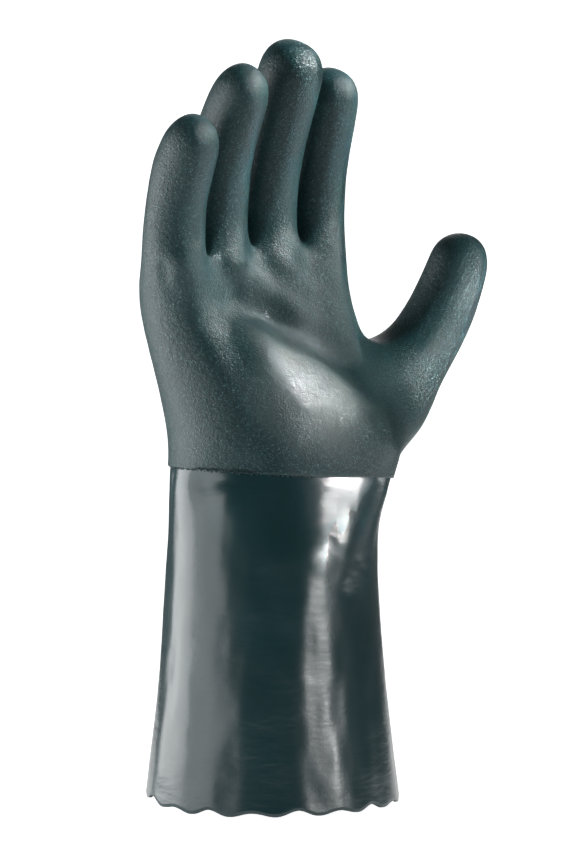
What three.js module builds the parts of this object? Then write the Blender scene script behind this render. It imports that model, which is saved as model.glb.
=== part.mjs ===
// A right-hand work glove of soft PVC, standing filled out and open at the hem.
// It has two pieces: a smooth gauntlet cuff with a wavy cut hem, and the hand, which is dipped
// again in sand-finish PVC down to the wrist, so that its lower lip lies over the top of the cuff.
// Millimetres. +Z runs from the hem to the fingertips, -Y is the palm side, +X the thumb side,
// and the origin is the middle of the cuff's mouth, level with the lowest points of the hem.
import * as THREE from "three";

// Lengths up the glove
const cuffLength = 153; // hem to the edge of the sand dip
const palmLength = 98; // edge of the sand dip to the roots of the fingers
const fingerLength = 98; // root to tip of the middle finger, along its bend
const thumbLength = 85; // root to tip of the thumb, along its bend

// Outside widths, across the hand, and depths, from palm to back
const mouthWidth = 123;
const mouthDepth = 112;
const wristWidth = 102;
const wristDepth = 88;
const palmWidth = 116;
const palmDepth = 45;
const fingerWidth = 28;
const fingerDepth = 31;
const thumbWidth = 31;
const thumbDepth = 31;

// Walls, lip and hem
const cuffWall = 1.5;
const handWall = 2.6;
const lipWall = 0.9; // the sand dip alone, where it lies over the cuff
const lipOverlap = 7; // the cuff reaches this far up into the hand
const seamGap = 0.35; // clearance between the cuff and the hand all along their joint
const dipSlant = 2.8; // the dip's edge goes this far up and down from its middle height
const dipTurn = THREE.MathUtils.degToRad(36); // its lowest point lies this far round to the palm
const scallopCount = 16; // waves of the cut hem
const scallopDrop = 2.8; // height of a wave
const scallopUneven = 0.4; // a wave's height varies by up to this share
const unevenWaves = 3; // times round the hem that it does so
const hemSlant = 3.6; // the hem is cut this much shorter on the little finger's side of the back
const hemTurn = THREE.MathUtils.degToRad(81); // its lowest point lies this far round to the palm

const cuffRows = 7; // from the hem to the dip's edge

// Sections of the cuff. up is a share of cuffLength, and open runs from the wrist's size, 0, to
// the mouth's, 1. thumb is how far the side reaches out to the thumb, as a share of thumbWidth.
const cuffSections = [
  { up: 0.0, open: 1.0, thumb: 0.0 },
  { up: 0.17, open: 0.7, thumb: 0.0 },
  { up: 0.34, open: 0.45, thumb: 0.0 },
  { up: 0.52, open: 0.25, thumb: 0.0 },
  { up: 0.7, open: 0.11, thumb: 0.01 },
  { up: 0.84, open: 0.03, thumb: 0.06 },
  { up: 0.95, open: 0.0, thumb: 0.24 },
];

// Sections of the palm. up is a share of palmLength above the dip's edge. right and back move the
// section's middle, as shares of palmWidth and palmDepth. wide and deep run from the wrist's size,
// 0, to the palm's, 1. thumb is as for the cuff. knuckled runs from an oval, 0, to four fingers
// side by side, 1, and side is the half angle that is left for each edge of the hand, in degrees.
const palmSections = [
  { up: 0.07, right: 0.01, back: 0.0, wide: 0.0, deep: 0.05, thumb: 0.43, knuckled: 0.0, side: 18 },
  { up: 0.19, right: 0.0, back: 0.0, wide: 0.05, deep: 0.2, thumb: 1.07, knuckled: 0.05, side: 26 },
  { up: 0.4, right: -0.045, back: 0.02, wide: 0.2, deep: 0.5, thumb: 1.1, knuckled: 0.2, side: 32 },
  { up: 0.59, right: -0.085, back: 0.06, wide: 0.38, deep: 0.77, thumb: 0.28, knuckled: 0.5, side: 32 },
  { up: 0.8, right: -0.11, back: 0.1, wide: 0.56, deep: 0.96, thumb: 0.0, knuckled: 0.8, side: 30 },
  { up: 1.0, right: -0.125, back: 0.12, wide: 0.93, deep: 1.07, thumb: 0.0, knuckled: 1.0, side: 30 },
];
const thumbTurn = THREE.MathUtils.degToRad(10); // the reach to the thumb points this far to the palm
const thumbPower = 3; // a higher power keeps that reach to a narrower part of the side
const webDepth = 0.68; // depth of the knuckle row between two fingers, as a share of the palm's
const edgeDepth = 0.6; // and at the outer corners of the row

// The fingers. across is the middle of the root as a share of palmWidth from the palm's middle,
// back a shift of the root as a share of palmDepth, and up one as a share of palmLength. length is
// a share of fingerLength, wide and deep are shares of fingerWidth and fingerDepth. curl is the
// lean towards the palm side at each of bendPlaces, lean the one towards the thumb, both in
// degrees from upright. taper is what the tip has left of the full section.
const bendPlaces = [0, 0.42, 0.74, 1]; // root, two knuckles and tip, as shares of the length
const fingers = [
  {
    across: -0.375, back: -0.22, up: -0.05, length: 0.72, wide: 1.0, deep: 0.95, taper: 0.8,
    curl: [4, 16, 36, 46], lean: [-2, -3, -1, 0],
  },
  {
    across: -0.13, back: -0.03, up: 0.01, length: 0.925, wide: 1.0, deep: 1.03, taper: 0.8,
    curl: [4, 15, 38, 52], lean: [-1, -3, -2, -1],
  },
  {
    across: 0.127, back: 0.05, up: 0.04, length: 1.0, wide: 1.03, deep: 1.03, taper: 1.0,
    curl: [0, 20, 24, 34], lean: [-1, -1, -1, -1],
  },
  {
    across: 0.382, back: 0.05, up: 0.05, length: 0.861, wide: 0.985, deep: 0.96, taper: 0.92,
    curl: [-4, 14, 18, 36], lean: [-1, -1, -1, -1],
  },
];

// Rings of a digit's shaft, up as a share of its length less half its width, and rings of its
// round tip, down from the end as a share of half its width. size is against the full section.
const shaftRings = [
  { up: 0.15, size: 1.0 },
  { up: 0.35, size: 0.97 },
  { up: 0.55, size: 0.95 },
  { up: 0.75, size: 0.97 },
  { up: 0.95, size: 1.01 },
];
const tipRings = [
  { down: 0.67, size: 0.97 },
  { down: 0.15, size: 0.69 },
];
const tipOver = 0.17; // the cage's last point stands this far over the tip, as those do below it

// The thumb grows from the side of the palm, from this row of palmSections to the second one above.
const thumbRow = 1;
const thumb = { taper: 0.88, curl: [12, 16, 18, 16], lean: [56, 26, 8, -3] };
const thumbShaft = [
  { up: 0.26, size: 1.16 },
  { up: 0.5, size: 1.06 },
  { up: 0.72, size: 1.02 },
  { up: 0.94, size: 0.98 },
];
const taperFrom = 0.6; // a digit tapers over the rest of its length

// Folds and mounds of the palm, each along a line. from and to are places on the palm: across as a
// share of palmWidth from the part's middle, up as a share of palmLength. wide is a share of
// foldWidth and high one of foldHeight, where a negative height is a furrow.
const foldWidth = 8;
const foldHeight = 2.2;
const folds = [
  // ridges from the webs beside the middle finger, and the furrow below them
  { from: [-0.2, 0.95], to: [0.09, 0.69], wide: 0.7, high: 0.9 },
  { from: [0.08, 1.0], to: [0.21, 0.91], wide: 0.6, high: 0.5 },
  { from: [-0.34, 0.93], to: [0.28, 0.47], wide: 0.85, high: -0.8 },
  // mound of the thumb's heel, and the valley between it and the thumb
  { from: [-0.05, 0.42], to: [0.07, 0.32], wide: 2.6, high: 1.2 },
  { from: [0.37, 0.6], to: [0.39, 0.4], wide: 0.8, high: -1.6 },
  // crease at the little finger's root
  { from: [-0.58, 0.94], to: [-0.53, 0.8], wide: 0.6, high: -0.7 },
];

const radians = THREE.MathUtils.degToRad;
const mix = THREE.MathUtils.lerp;

// Columns of the trunk's control cage run along the palm from the little finger to the thumb, over
// the thumb's edge, back along the back of the hand, and over the little finger's edge.
const frontColumns = 2 * fingers.length + 1;
const cageColumns = 2 * frontColumns + 2;
const thumbEdge = frontColumns;
const littleEdge = cageColumns - 1;
const backColumn = (front) => cageColumns - 2 - front;
const seamColumns = 2 * cageColumns;

// Eight points round a digit, from the palm side's left over the thumb's side to the back.
const ringAngles = [-135, -90, -45, 0, 45, 90, 135, 180].map(radians);
const bendSteps = 100; // short steps along a digit's centre line

// A ring of n control points this much larger than an oval subdivides to the oval itself.
const cageScale = (n) => 6 / (4 + 2 * Math.cos((2 * Math.PI) / n));
const roundCage = cageScale(cageColumns);
const digitCage = cageScale(ringAngles.length);

const wristHeight = cuffLength + lipOverlap;
const rootHeight = cuffLength + palmLength;

// One list of trunk sections from hem to roots: height, middle, half width and half depth.
const trunkSections = [
  ...cuffSections.map(({ up, open, thumb }) => ({
    z: up * cuffLength,
    x: 0,
    y: 0,
    halfWidth: mix(wristWidth, mouthWidth, open) / 2,
    halfDepth: mix(wristDepth, mouthDepth, open) / 2,
    thumb: thumb * thumbWidth,
  })),
  ...palmSections.map(({ up, right, back, wide, deep, thumb }) => ({
    z: cuffLength + up * palmLength,
    x: right * palmWidth,
    y: back * palmDepth,
    halfWidth: mix(wristWidth, palmWidth, wide) / 2,
    halfDepth: mix(wristDepth, palmDepth, deep) / 2,
    thumb: thumb * thumbWidth,
  })),
];

// The trunk's section at a height, on a smooth curve through the list.
function sectionAt(z) {
  const last = trunkSections.length - 1;
  let i = 0;
  while (i < last - 1 && trunkSections[i + 1].z < z) i++;
  const [a, b] = [trunkSections[i], trunkSections[i + 1]];
  const before = trunkSections[Math.max(i - 1, 0)];
  const after = trunkSections[Math.min(i + 2, last)];
  const t = (z - a.z) / (b.z - a.z);
  const between = (key) => {
    const slopeA = i ? (b[key] - before[key]) / (b.z - before.z) : (b[key] - a[key]) / (b.z - a.z);
    const slopeB = after === b ? (b[key] - a[key]) / (b.z - a.z) : (after[key] - a[key]) / (after.z - a.z);
    const span = b.z - a.z;
    const [t2, t3] = [t * t, t * t * t];
    return (
      (2 * t3 - 3 * t2 + 1) * a[key] +
      (t3 - 2 * t2 + t) * span * slopeA +
      (3 * t2 - 2 * t3) * b[key] +
      (t3 - t2) * span * slopeB
    );
  };
  return Object.fromEntries(Object.keys(a).map((key) => [key, key === "z" ? z : between(key)]));
}

// A point of the unit circle. Angles are counted from the thumb's side towards the back.
const onCircle = (angle) => new THREE.Vector2(Math.cos(angle), Math.sin(angle));

// The trunk's point at a height for a shape given against its half width and half depth, moved in
// by the inset, square to the trunk's oval.
function trunkPoint(z, shape, inset = 0) {
  const s = sectionAt(z);
  const normal = new THREE.Vector2(shape.x / s.halfWidth, shape.y / s.halfDepth).normalize();
  const reach = s.thumb * Math.max(0, shape.x) ** thumbPower;
  return new THREE.Vector3(
    s.x + s.halfWidth * shape.x + reach * Math.cos(thumbTurn) - inset * normal.x,
    s.y + s.halfDepth * shape.y - reach * Math.sin(thumbTurn) - inset * normal.y,
    z,
  );
}

const average = (list) => list.reduce((sum, p) => sum.add(p), new THREE.Vector3()).divideScalar(list.length);

// The angle of a column round the trunk's oval, where each edge takes up twice the angle side.
function columnAngle(column, side) {
  const step = (Math.PI - 2 * side) / (frontColumns - 1);
  if (column === thumbEdge) return 0;
  if (column === littleEdge) return Math.PI;
  if (column < frontColumns) return -Math.PI + side + column * step;
  return Math.PI - side - backColumn(column) * step;
}

// Where a finger's root stands, in the part's frame.
const rootSection = sectionAt(rootHeight);
function rootOf(finger) {
  return new THREE.Vector3(
    rootSection.x + finger.across * palmWidth,
    rootSection.y + finger.back * palmDepth,
    rootHeight + finger.up * palmLength,
  );
}

// The centre line of a digit: a walk from its root in short steps, each in the direction that
// the curl and the lean give there. Returns the point and the direction at a share of the length.
function centreLine(root, length, curl, lean) {
  const bend = (angles, t) => {
    const i = Math.max(1, bendPlaces.findIndex((place) => place >= t));
    return mix(angles[i - 1], angles[i], (t - bendPlaces[i - 1]) / (bendPlaces[i] - bendPlaces[i - 1]));
  };
  const direction = (t) => {
    const [c, l] = [radians(bend(curl, t)), radians(bend(lean, t))];
    return new THREE.Vector3(Math.sin(l), -Math.sin(c) * Math.cos(l), Math.cos(c) * Math.cos(l));
  };
  const points = [root.clone()];
  for (let i = 0; i < bendSteps; i++) {
    const t = (i + 0.5) / bendSteps;
    points.push(points[i].clone().addScaledVector(direction(t), length / bendSteps));
  }
  return (share) => {
    const i = Math.min(bendSteps, Math.round(share * bendSteps));
    const past = share - i / bendSteps;
    const at = direction(Math.min(share, 1));
    return { point: points[i].clone().addScaledVector(at, past * length), direction: at };
  };
}

// A ring of points square to a centre line.
function digitRing({ point, direction }, halfWidth, halfDepth) {
  const right = new THREE.Vector3(0, 1, 0).cross(direction).normalize();
  const back = new THREE.Vector3().crossVectors(direction, right);
  return ringAngles.map((angle) =>
    point
      .clone()
      .addScaledVector(right, halfWidth * Math.cos(angle))
      .addScaledVector(back, halfDepth * Math.sin(angle)),
  );
}

// The shape of the knuckle row round the trunk, against its half width and half depth: bulged at
// each finger, pulled in between two.
function knuckleShape(column) {
  const isFront = column < frontColumns;
  const front = isFront ? column : backColumn(column);
  const sign = isFront ? -1 : 1;
  const middle = (finger) => 2 * finger.across;
  const halfFinger = fingerWidth / palmWidth;
  const corner = halfFinger * Math.SQRT1_2 * digitCage;
  const [first, last] = [middle(fingers[0]), middle(fingers.at(-1))];
  if (column === thumbEdge) return new THREE.Vector2(last + halfFinger, 0);
  if (column === littleEdge) return new THREE.Vector2(first - halfFinger, 0);
  if (front === 0) return new THREE.Vector2(first - corner, sign * edgeDepth);
  if (front === frontColumns - 1) return new THREE.Vector2(last + corner, sign * edgeDepth);
  if (front % 2) return new THREE.Vector2(middle(fingers[(front - 1) / 2]), sign);
  const beside = [fingers[front / 2 - 1], fingers[front / 2]].map(middle);
  return new THREE.Vector2((beside[0] + beside[1]) / 2, sign * webDepth);
}

// The control cage of the hand: points, and faces that list them anticlockwise from outside.
function handCage() {
  const points = [];
  const faces = [];
  const add = (point) => points.push(point) - 1;

  const rows = palmSections.map(({ up, knuckled, side }, r) => {
    const z = r ? cuffLength + up * palmLength : wristHeight;
    return Array.from({ length: cageColumns }, (_, column) => {
      const angle = columnAngle(column, radians(side));
      const oval = onCircle(angle).multiplyScalar(roundCage);
      return add(trunkPoint(z, oval.lerp(knuckleShape(column), knuckled)));
    });
  });

  // Each root stands at its finger's height and depth, and a web half way between its two.
  const top = rows.at(-1);
  fingers.forEach((finger, f) => {
    for (const front of [2 * f, 2 * f + 1, 2 * f + 2]) {
      for (const column of [front, backColumn(front)]) {
        const share = front % 2 || front === 0 || front === frontColumns - 1 ? 1 : 0.5;
        points[top[column]].z += share * finger.up * palmLength;
        points[top[column]].y += share * finger.back * palmDepth;
      }
    }
  });
  for (const [edge, finger] of [[littleEdge, fingers[0]], [thumbEdge, fingers.at(-1)]]) {
    points[top[edge]].z += finger.up * palmLength;
    points[top[edge]].y += finger.back * palmDepth;
  }

  // The palm, without the opening that the thumb grows from.
  const thumbColumns = [thumbEdge - 1, thumbEdge];
  for (let r = 0; r < rows.length - 1; r++) {
    for (let c = 0; c < cageColumns; c++) {
      const next = (c + 1) % cageColumns;
      const isThumb = r >= thumbRow && r < thumbRow + 2 && thumbColumns.includes(c);
      if (!isThumb) faces.push([rows[r][c], rows[r][next], rows[r + 1][next], rows[r + 1][c]]);
    }
  }

  // A digit grows from a ring of eight points of the palm.
  const grow = (base, shaft, line, taper, length, halfWidth, halfDepth) => {
    let below = base;
    const rings = [
      ...shaft.map(({ up, size }) => ({ share: (up * (length - halfWidth)) / length, size })),
      ...tipRings.map(({ down, size }) => ({ share: 1 - (down * halfWidth) / length, size })),
    ];
    for (const { share, size } of rings) {
      const left = mix(1, taper, Math.max(0, (share - taperFrom) / (1 - taperFrom)));
      const scale = size * left * digitCage;
      const ring = digitRing(line(share), halfWidth * scale, halfDepth * scale).map(add);
      ring.forEach((corner, i) => {
        const next = (i + 1) % ring.length;
        faces.push([below[i], below[next], ring[next], corner]);
      });
      below = ring;
    }
    const tip = add(line(1 + (tipOver * halfWidth) / length).point);
    for (let i = 0; i < below.length; i += 2) {
      faces.push([below[i], below[i + 1], below[(i + 2) % below.length], tip]);
    }
  };

  // Between two fingers the web's middle point is shared by both.
  const webs = fingers.slice(1).map((finger, f) => {
    const ends = [top[2 * f + 2], top[backColumn(2 * f + 2)]].map((i) => points[i]);
    return add(ends[0].clone().lerp(ends[1], 0.5));
  });
  fingers.forEach((finger, f) => {
    const [left, right] = [f ? webs[f - 1] : top[littleEdge], webs[f] ?? top[thumbEdge]];
    const front = [2 * f, 2 * f + 1, 2 * f + 2].map((c) => top[c]);
    const back = [2 * f + 2, 2 * f + 1, 2 * f].map((c) => top[backColumn(c)]);
    const length = finger.length * fingerLength;
    const line = centreLine(rootOf(finger), length, finger.curl, finger.lean);
    const [halfWidth, halfDepth] = [(finger.wide * fingerWidth) / 2, (finger.deep * fingerDepth) / 2];
    grow([...front, right, ...back, left], shaftRings, line, finger.taper, length, halfWidth, halfDepth);
  });

  // The thumb's ring starts at the upper corner on the palm side, as a finger's does.
  const [low, mid, high] = rows.slice(thumbRow, thumbRow + 3);
  const [frontEdge, backEdge] = [thumbEdge - 1, thumbEdge + 1];
  const base = [
    high[frontEdge], mid[frontEdge], low[frontEdge], low[thumbEdge],
    low[backEdge], mid[backEdge], high[backEdge], high[thumbEdge],
  ];
  const root = average(base.map((i) => points[i]));
  const line = centreLine(root, thumbLength, thumb.curl, thumb.lean);
  grow(base, thumbShaft, line, thumb.taper, thumbLength, thumbWidth / 2, thumbDepth / 2);
  return { points, faces, wrist: rows[0] };
}

// One step of Catmull-Clark subdivision, with the open edge kept as a smooth curve.
function subdivide({ points, faces, wrist }) {
  const middles = faces.map((face) => average(face.map((i) => points[i])));
  const edges = new Map();
  const edgeKey = (a, b) => (a < b ? `${a},${b}` : `${b},${a}`);
  faces.forEach((face, f) =>
    face.forEach((a, i) => {
      const b = face[(i + 1) % face.length];
      const key = edgeKey(a, b);
      if (!edges.has(key)) edges.set(key, { ends: [a, b], sides: [] });
      edges.get(key).sides.push(f);
    }),
  );
  const around = points.map(() => ({ middles: [], edges: [], rim: [] }));
  faces.forEach((face, f) => face.forEach((i) => around[i].middles.push(middles[f])));
  for (const edge of edges.values()) {
    edge.middle = average(edge.ends.map((i) => points[i]));
    for (const i of edge.ends) {
      around[i].edges.push(edge.middle);
      if (edge.sides.length === 1) around[i].rim.push(edge.middle);
    }
  }
  const moved = points.map((point, i) => {
    const { middles: near, edges: spokes, rim } = around[i];
    if (rim.length) return point.clone().lerp(average(rim), 0.5);
    const n = near.length;
    return average(near)
      .addScaledVector(average(spokes), 2)
      .addScaledVector(point, n - 3)
      .divideScalar(n);
  });
  const made = [...moved];
  for (const edge of edges.values()) {
    const ends = edge.ends.map((i) => points[i]);
    edge.index = made.push(
      edge.sides.length === 1 ? edge.middle : average([...ends, ...edge.sides.map((f) => middles[f])]),
    ) - 1;
  }
  const firstMiddle = made.length;
  made.push(...middles);
  const split = faces.flatMap((face, f) =>
    face.map((corner, i) => {
      const next = edges.get(edgeKey(corner, face[(i + 1) % face.length])).index;
      const previous = edges.get(edgeKey(face.at(i - 1), corner)).index;
      return [corner, next, firstMiddle + f, previous];
    }),
  );
  const finerWrist = wrist.flatMap((corner, i) => [
    corner,
    edges.get(edgeKey(corner, wrist[(i + 1) % wrist.length])).index,
  ]);
  return { points: made, faces: split, wrist: finerWrist };
}

// Moves each point of a cage to the place that endless subdivision would take it to.
function settle({ points, faces, wrist }) {
  const sums = points.map(() => ({ n: 0, near: new THREE.Vector3() }));
  for (const face of faces) {
    face.forEach((corner, i) => {
      const [next, across, previous] = [1, 2, 3].map((step) => points[face[(i + step) % 4]]);
      sums[corner].n += 1;
      sums[corner].near.addScaledVector(next, 2).addScaledVector(previous, 2).add(across);
    });
  }
  const settled = points.map((point, i) => {
    const { n, near } = sums[i];
    return near.clone().addScaledVector(point, n * n).divideScalar(n * (n + 5));
  });
  return { points: settled, faces, wrist };
}

// How far the folds raise the palm at a place.
function foldAt(point) {
  const place = ([across, up]) => new THREE.Vector3(across * palmWidth, 0, cuffLength + up * palmLength);
  const here = new THREE.Vector3(point.x, 0, point.z);
  return folds.reduce((sum, { from, to, wide, high }) => {
    const line = new THREE.Line3(place(from), place(to));
    const nearest = line.closestPointToPoint(here, true, new THREE.Vector3());
    const away = here.distanceTo(nearest) / (wide * foldWidth);
    return sum + high * foldHeight * Math.exp(-away * away);
  }, 0);
}

// The outward normal at each point, from the faces round it.
function normalsOf({ points, faces }) {
  const normals = points.map(() => new THREE.Vector3());
  for (const [a, b, c, d] of faces) {
    const cross = points[c].clone().sub(points[a]).cross(points[d].clone().sub(points[b]));
    for (const i of [a, b, c, d]) normals[i].add(cross);
  }
  return normals.map((n) => n.normalize());
}

// A closed mesh from polygons, each split into a fan about its first corner.
function meshOf(name, points, polygons, material) {
  const geometry = new THREE.BufferGeometry();
  const places = points.flatMap((p) => p.toArray());
  geometry.setAttribute("position", new THREE.Float32BufferAttribute(places, 3));
  geometry.setIndex(
    polygons.flatMap(([first, ...rest]) => rest.slice(1).flatMap((corner, i) => [first, rest[i], corner])),
  );
  geometry.computeVertexNormals();
  const mesh = new THREE.Mesh(geometry, material);
  mesh.name = name;
  return mesh;
}

// Quads between two rings, facing out. The lower ring may have twice the upper one's points.
function bridge(lower, upper) {
  return upper.map((corner, i) => {
    const next = upper[(i + 1) % upper.length];
    if (lower.length === upper.length) return [lower[i], lower[(i + 1) % lower.length], next, corner];
    return [lower[2 * i + 1], lower[(2 * i + 2) % lower.length], next, corner, lower[2 * i]];
  });
}

// The same polygons, split the same way, facing in.
function inward(polygons) {
  return polygons.map(([first, ...rest]) => [first, ...rest.reverse()]);
}

// Angles of the points round the seam of hand and cuff, from the palm's little finger side on.
function seamAngles(count) {
  const start = columnAngle(0, radians(palmSections[0].side));
  return Array.from({ length: count }, (_, i) => start + (i / count) * 2 * Math.PI);
}

// The height of the sand dip's edge, which slants down towards the thumb's side of the palm.
function dipEdge(angle) {
  return cuffLength - dipSlant * Math.cos(angle + dipTurn);
}

// The hand: an outer and an inner skin, and a lip below them that covers the top of the cuff.
function buildHand(material) {
  const outer = settle(subdivide(handCage()));
  const smooth = normalsOf(outer);
  outer.points.forEach((point, i) => {
    const facing = Math.max(0, -smooth[i].y);
    point.addScaledVector(smooth[i], facing * foldAt(point));
  });
  const normals = normalsOf(outer);
  const count = outer.points.length;
  const points = [...outer.points];
  points.push(...outer.points.map((p, i) => p.clone().addScaledVector(normals[i], -handWall)));
  const inner = (i) => i + count;

  const angles = seamAngles(outer.wrist.length);
  outer.wrist.forEach((corner, i) => {
    points[corner].copy(trunkPoint(wristHeight, onCircle(angles[i])));
    points[inner(corner)].copy(trunkPoint(wristHeight, onCircle(angles[i]), handWall));
  });
  const ring = (height, inset) =>
    angles.map((angle) => points.push(trunkPoint(height(angle), onCircle(angle), inset)) - 1);
  const lipOutside = ring(dipEdge, 0);
  const lipInside = ring(dipEdge, lipWall);
  const seat = ring(() => wristHeight, lipWall);
  const polygons = [
    ...outer.faces,
    ...inward(outer.faces.map((face) => face.map(inner))),
    ...bridge(lipOutside, outer.wrist),
    ...bridge(lipInside, lipOutside),
    ...inward(bridge(lipInside, seat)),
    ...inward(bridge(seat, outer.wrist.map(inner))),
  ];
  return meshOf("hand", points, polygons, material);
}

// The height of the cut hem at an angle: waves, a little uneven in height, on a slanted cut.
function hemHeight(angle) {
  const wave = (1 + Math.cos(scallopCount * angle)) / 2;
  const uneven = (1 + Math.sin(unevenWaves * angle)) / 2;
  const slant = (1 - Math.cos(angle + hemTurn)) / 2;
  return scallopDrop * wave * (1 - scallopUneven * uneven) + hemSlant * slant;
}

// The cuff: a tube from the hem to its top inside the hand's lip. Below the lip it has twice the
// columns of the seam, for the waves of the hem.
function buildCuff(material) {
  const topHeight = wristHeight - seamGap;
  const seam = seamAngles(seamColumns);
  const fine = seamAngles(2 * seamColumns);
  const points = [];
  const ring = (height, angles, inset) =>
    angles.map((angle) => points.push(trunkPoint(height(angle), onCircle(angle), inset)) - 1);
  const skin = (inset) => {
    const below = Array.from({ length: cuffRows }, (_, row) =>
      ring((angle) => mix(hemHeight(angle), dipEdge(angle), row / cuffRows), fine, inset),
    );
    return [...below, ring(dipEdge, seam, inset), ring(() => topHeight, seam, inset)];
  };
  const walls = (rings) => rings.slice(1).flatMap((upper, i) => bridge(rings[i], upper));
  const outside = skin(lipWall + seamGap);
  const inside = skin(lipWall + seamGap + cuffWall);
  const polygons = [
    ...walls(outside),
    ...inward(walls(inside)),
    ...bridge(outside.at(-1), inside.at(-1)),
    ...bridge(inside[0], outside[0]),
  ];
  return meshOf("cuff", points, polygons, material);
}

const sandFinish = new THREE.MeshStandardMaterial({ color: 0x2c4143, roughness: 0.62, metalness: 0 });
const smoothFinish = new THREE.MeshStandardMaterial({ color: 0x1f3a3c, roughness: 0.32, metalness: 0 });

const glove = new THREE.Group();
glove.add(buildHand(sandFinish), buildCuff(smoothFinish));

export default glove;
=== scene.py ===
import math
from collections import namedtuple

import bpy
import numpy as np
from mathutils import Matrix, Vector


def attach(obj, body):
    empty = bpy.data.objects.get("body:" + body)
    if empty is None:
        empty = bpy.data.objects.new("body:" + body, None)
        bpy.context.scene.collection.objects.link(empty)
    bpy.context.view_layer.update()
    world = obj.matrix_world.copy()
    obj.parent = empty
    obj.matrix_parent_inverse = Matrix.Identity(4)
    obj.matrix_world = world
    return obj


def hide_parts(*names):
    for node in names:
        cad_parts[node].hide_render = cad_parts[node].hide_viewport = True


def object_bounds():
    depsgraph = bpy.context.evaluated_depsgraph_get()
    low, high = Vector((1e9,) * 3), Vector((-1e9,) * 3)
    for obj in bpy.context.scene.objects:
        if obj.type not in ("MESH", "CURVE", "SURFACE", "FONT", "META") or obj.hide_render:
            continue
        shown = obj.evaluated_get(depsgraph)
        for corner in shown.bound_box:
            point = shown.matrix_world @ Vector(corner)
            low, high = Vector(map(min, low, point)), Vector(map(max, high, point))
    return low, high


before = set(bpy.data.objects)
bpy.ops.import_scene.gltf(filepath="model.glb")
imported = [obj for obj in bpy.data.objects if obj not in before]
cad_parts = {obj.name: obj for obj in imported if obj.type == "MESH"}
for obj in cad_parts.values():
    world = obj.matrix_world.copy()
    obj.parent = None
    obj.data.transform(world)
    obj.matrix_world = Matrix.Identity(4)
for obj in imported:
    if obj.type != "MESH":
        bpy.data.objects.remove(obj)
cad_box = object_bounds()

# Lengths up the glove
CUFF_LENGTH = 0.153  # hem to the edge of the sand dip
PALM_LENGTH = 0.098  # edge of the sand dip to the roots of the fingers
FINGER_LENGTH = 0.098  # root to tip of the middle finger, along its bend
THUMB_LENGTH = 0.085

# Outside widths, across the hand, and depths, from palm to back
MOUTH_WIDTH = 0.123
MOUTH_DEPTH = 0.112
WRIST_WIDTH = 0.102
WRIST_DEPTH = 0.088
PALM_WIDTH = 0.116
PALM_DEPTH = 0.045
FINGER_WIDTH = 0.028
FINGER_DEPTH = 0.031
THUMB_WIDTH = 0.031
THUMB_DEPTH = 0.031

# Walls, lip and hem
CUFF_WALL = 0.0015
HAND_WALL = 0.0026
LIP_WALL = 0.0009  # the sand dip alone, where it lies over the cuff
LIP_OVERLAP = 0.007
SEAM_GAP = 0.00035
DIP_SLANT = 0.0028  # the dip's edge goes this far up and down from its middle height
DIP_TURN = math.radians(36)  # its lowest point lies this far round to the palm
HEM_RISE = 0.0012  # the cut's low points, and how much higher they are at the little finger's side
HEM_LIFT = 0.0038
HEM_LIFT_AT = math.radians(154)
HEM_LIFT_WIDE = math.radians(28)
SCALLOP_COUNT = 18
SCALLOP_HEIGHT = 0.0026
SCALLOP_TURN = math.radians(8)
SCALLOP_SHARE = 0.85  # the waves reach this share of their height, more and less in turn
SCALLOP_SWING = 0.2
LOOSE_FROM = 0.012  # the skin swells freely from this far above and below the seam
WRIST_HEIGHT = CUFF_LENGTH + LIP_OVERLAP
ROOT_HEIGHT = CUFF_LENGTH + PALM_LENGTH

# Sections of the cuff. up is a share of the cuff's length, open runs from the wrist's size, 0, to
# the mouth's, 1, and thumb is the reach to the thumb's side as a share of the thumb's width.
CuffSection = namedtuple("CuffSection", "up open thumb")
CUFF_SECTIONS = [
    CuffSection(0.0, 1.0, 0.0),
    CuffSection(0.17, 0.7, 0.0),
    CuffSection(0.34, 0.45, 0.0),
    CuffSection(0.52, 0.25, 0.0),
    CuffSection(0.7, 0.11, 0.01),
    CuffSection(0.84, 0.03, 0.06),
    CuffSection(0.95, 0.0, 0.24),
]

# Sections of the palm. up is a share of the palm's length above the dip's edge, right and back
# move the middle, wide and deep run from the wrist's size, 0, to the palm's, 1, knuckled from an
# oval, 0, to four fingers side by side, 1. side is the half angle of each edge, in degrees.
PalmSection = namedtuple("PalmSection", "up right back wide deep thumb knuckled side")
PALM_SECTIONS = [
    PalmSection(0.07, 0.01, 0.0, 0.0, 0.05, 0.43, 0.0, 18),
    PalmSection(0.19, 0.0, 0.0, 0.05, 0.2, 1.07, 0.05, 26),
    PalmSection(0.4, -0.045, 0.02, 0.2, 0.5, 1.1, 0.2, 32),
    PalmSection(0.59, -0.085, 0.06, 0.38, 0.77, 0.28, 0.5, 32),
    PalmSection(0.8, -0.11, 0.1, 0.56, 0.96, 0.0, 0.8, 30),
    PalmSection(1.0, -0.125, 0.12, 0.93, 1.07, 0.0, 1.0, 30),
]
THUMB_TURN = math.radians(10)  # the reach to the thumb points this far to the palm
THUMB_POWER = 3
WEB_DEPTH = 0.68  # depth of the knuckle row between two fingers, as a share of the palm's
EDGE_DEPTH = 0.6  # and at the row's two ends

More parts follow.
